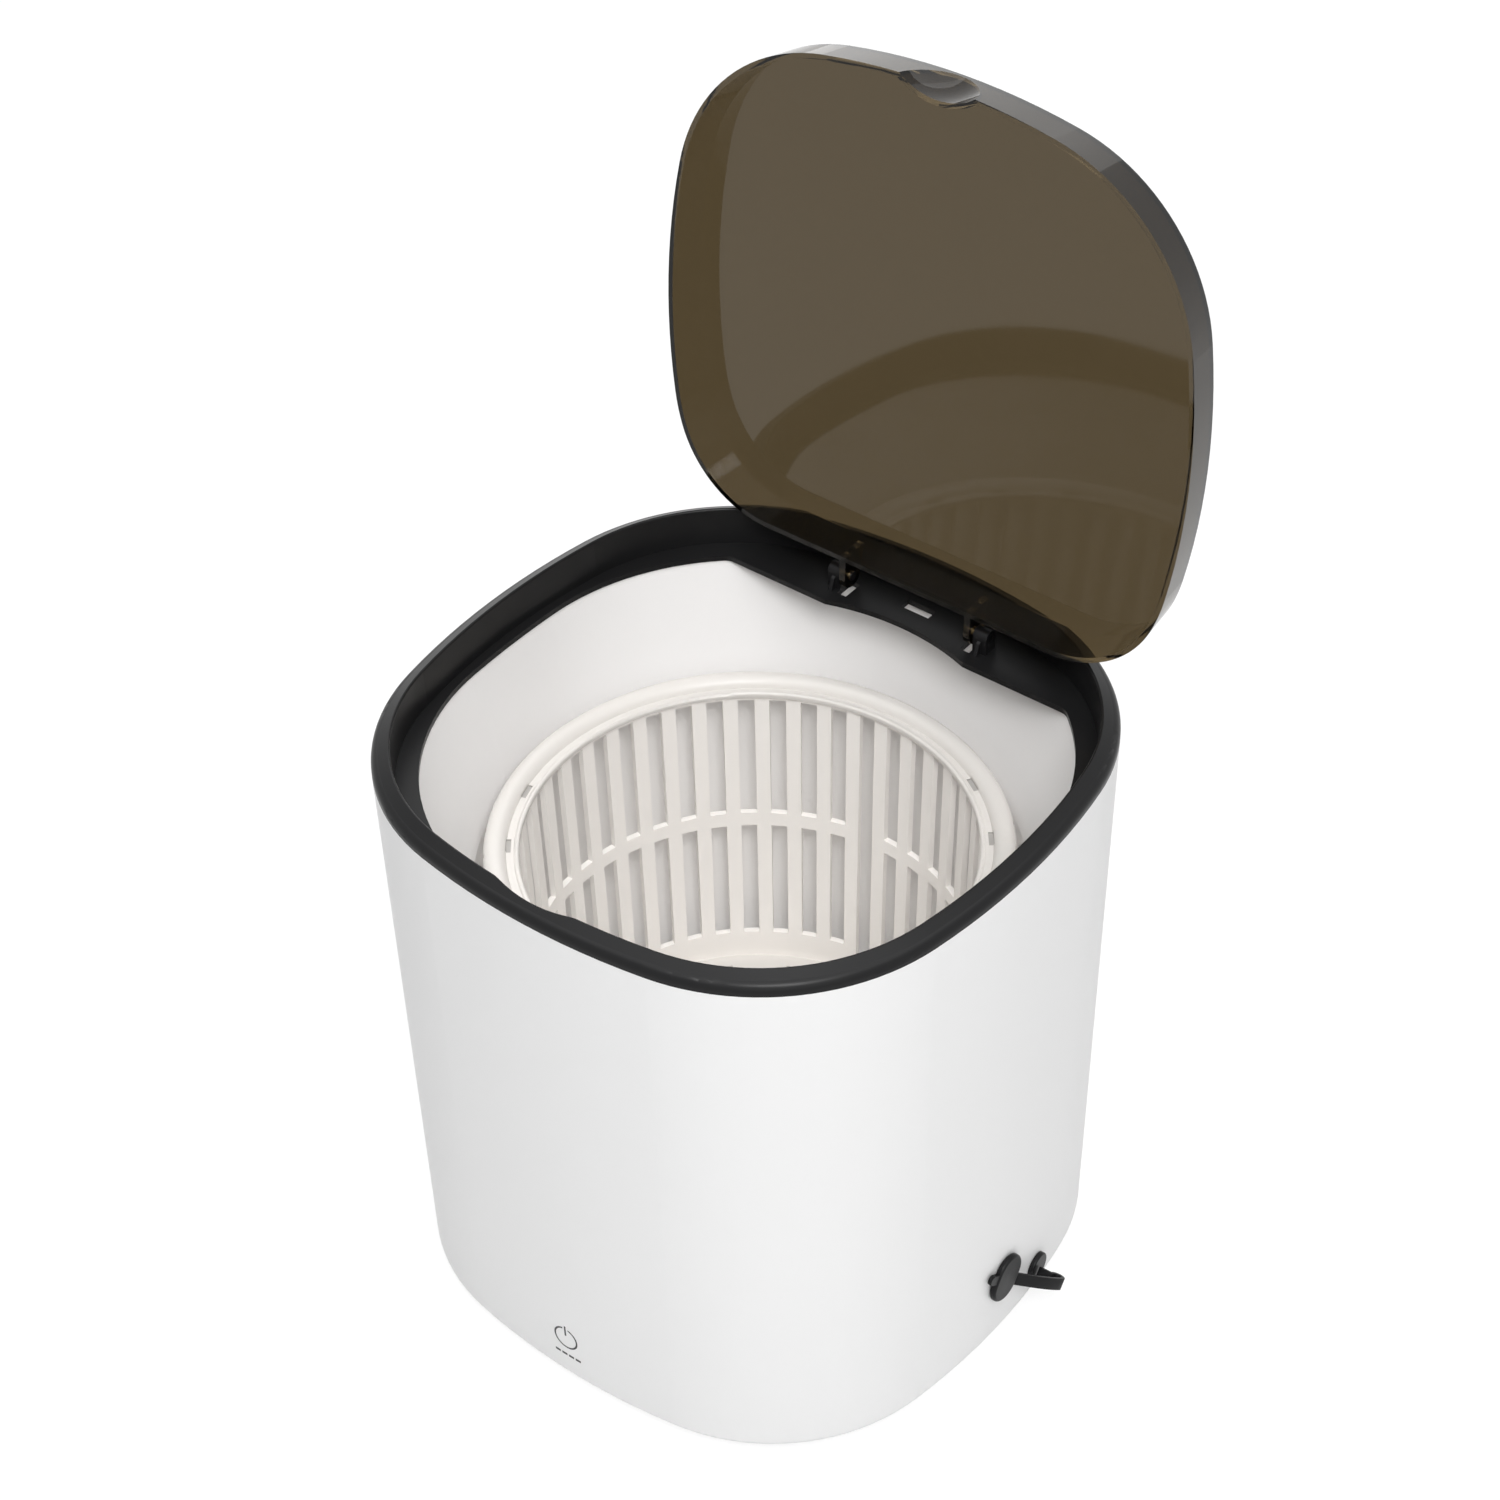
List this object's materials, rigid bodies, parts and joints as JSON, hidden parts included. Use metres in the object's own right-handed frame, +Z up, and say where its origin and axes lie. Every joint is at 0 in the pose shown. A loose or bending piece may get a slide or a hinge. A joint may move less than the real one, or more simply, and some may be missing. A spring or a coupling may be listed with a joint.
{
  "type": "portable washing machine",
  "caption": "Portable washing machine: drafted round-square white body, black top ring, hinged smoke lid, lift-out slotted drain basket over a turbine, and a side drain with a tethered plug.",
  "frame": {"origin": "on the floor plane that the feet rest on, under the centre of the body", "axes": "+Z up; the touch mark faces -Y, the drain is on +X and the lid hinge is at +Y"},
  "size_m": [0.2787, 0.2746, 0.4991],
  "materials": {
    "body_white": "satin",
    "base_grey": "satin",
    "ring_black": "satin",
    "lid_smoke": "gloss",
    "tub_grey": "satin",
    "basket_white": "satin",
    "pulsator_white": "satin",
    "rubber_black": "matte",
    "steel": "brushed",
    "bush_brass": "satin",
    "drive_black": "matte",
    "motor_zinc": "satin",
    "board_green": "satin",
    "lead_black": "satin"
  },
  "bodies": {
    "machine": {"outer_shell": "body_white", "base_plate": "base_grey", "base_screws": "steel", "rubber_feet": "rubber_black", "top_ring": "ring_black", "hinge_pin_left": "steel", "hinge_pin_right": "steel", "inner_tub": "tub_grey", "shaft_seal": "rubber_black", "bearing_housing": "drive_black", "upper_bush": "bush_brass", "lower_bush": "bush_brass", "drive_belt": "rubber_black", "motor_can": "motor_zinc", "motor_end_cap": "drive_black", "motor_bracket": "motor_zinc", "motor_screws": "steel", "bracket_screws": "steel", "drain_elbow": "base_grey", "drain_seal": "rubber_black", "plug_strap": "rubber_black", "strap_anchor": "rubber_black", "control_board": "board_green", "touch_pad": "rubber_black", "power_inlet": "drive_black", "inlet_nut": "steel", "motor_lead": "lead_black", "inlet_lead": "lead_black"},
    "lid": {"lid": "lid_smoke"},
    "basket": {"basket_panel_left": "basket_white", "basket_panel_right": "basket_white", "basket_floor": "basket_white", "basket_rim": "basket_white"},
    "pulsator": {"pulsator": "pulsator_white", "pulsator_screw": "steel", "drive_shaft": "steel", "driven_pulley": "drive_black", "pulley_nut": "steel"},
    "motor_rotor": {"motor_shaft": "steel", "motor_pulley": "bush_brass"},
    "drain_plug": {"drain_plug": "rubber_black"}
  },
  "joints": [
    {"name": "lid_hinge", "type": "hinge", "parent": "machine", "child": "lid", "pos_m": [0, 0.1098, 0.2645], "axis": [1, 0, 0], "range_deg": [0, 94.5]},
    {"name": "basket_lift", "type": "slide", "parent": "machine", "child": "basket", "axis": [0, -0.1392, 0.9903], "range_m": [0, 0.26]},
    {"name": "pulsator_spin", "type": "hinge", "parent": "machine", "child": "pulsator", "pos_m": [0, 0, 0.05], "axis": [0, 0, 1], "continuous": true},
    {"name": "motor_spin", "type": "hinge", "parent": "machine", "child": "motor_rotor", "pos_m": [-0.066, 0, 0.03], "axis": [0, 0, 1], "continuous": true},
    {"name": "plug_pull", "type": "slide", "parent": "machine", "child": "drain_plug", "axis": [1, 0, 0], "range_m": [0, 0.02], "deforming": ["plug_strap"]}
  ],
  "couplings": [
    {"joint": "motor_spin", "follows": "pulsator_spin", "ratio": 5.6552}
  ]
}
